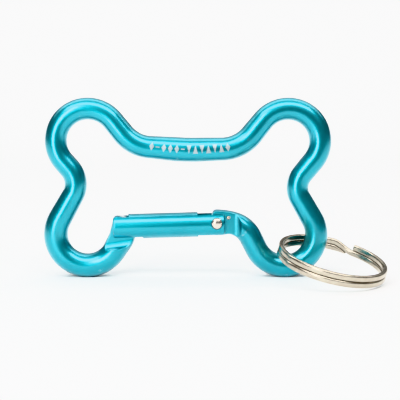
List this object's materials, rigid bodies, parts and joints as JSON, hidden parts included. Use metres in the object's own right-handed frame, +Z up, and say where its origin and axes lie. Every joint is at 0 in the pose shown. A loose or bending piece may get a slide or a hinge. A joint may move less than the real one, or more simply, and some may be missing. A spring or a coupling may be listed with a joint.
{
  "type": "carabiner keyring",
  "caption": "Bone-shaped bent-rod carabiner with a spring gate hinged on a rivet, and a split key ring threaded on one lower lobe.",
  "frame": {"origin": "on the surface the keyring stands on, under the middle of the whole keyring's box", "axes": "+Z up, +X along the long way of the bone shape towards the hinge end, -Y towards the viewer"},
  "size_m": [0.0874, 0.028, 0.0461],
  "materials": {
    "frame_rod": "turquoise dyed anodised, satin gloss",
    "gate_bar": "turquoise dyed anodised, satin gloss",
    "hinge_rivet": "polished steel",
    "gate_spring": "drawn spring wire",
    "split_ring": "nickel plated spring steel"
  },
  "bodies": {
    "frame": {"frame_rod": "frame_rod", "gate_spring": "gate_spring"},
    "gate": {"gate_bar": "gate_bar", "hinge_rivet": "hinge_rivet"},
    "ring": {"split_ring": "split_ring"}
  },
  "joints": [
    {"name": "gate_hinge", "type": "hinge", "parent": "frame", "child": "gate", "pos_m": [0.00083, 0.00762, 0.01428], "axis": [0, 1, 0], "range_deg": [0, 35], "stiffness_Nm_per_rad": 0.02, "springref_deg": -28.65, "deforming": ["gate_spring"]},
    {"name": "ring_swing", "type": "hinge", "parent": "frame", "child": "ring", "pos_m": [0.0239, 0.00662, 0.00738], "axis": [0, 0, 1], "range_deg": [-8, 100]}
  ]
}
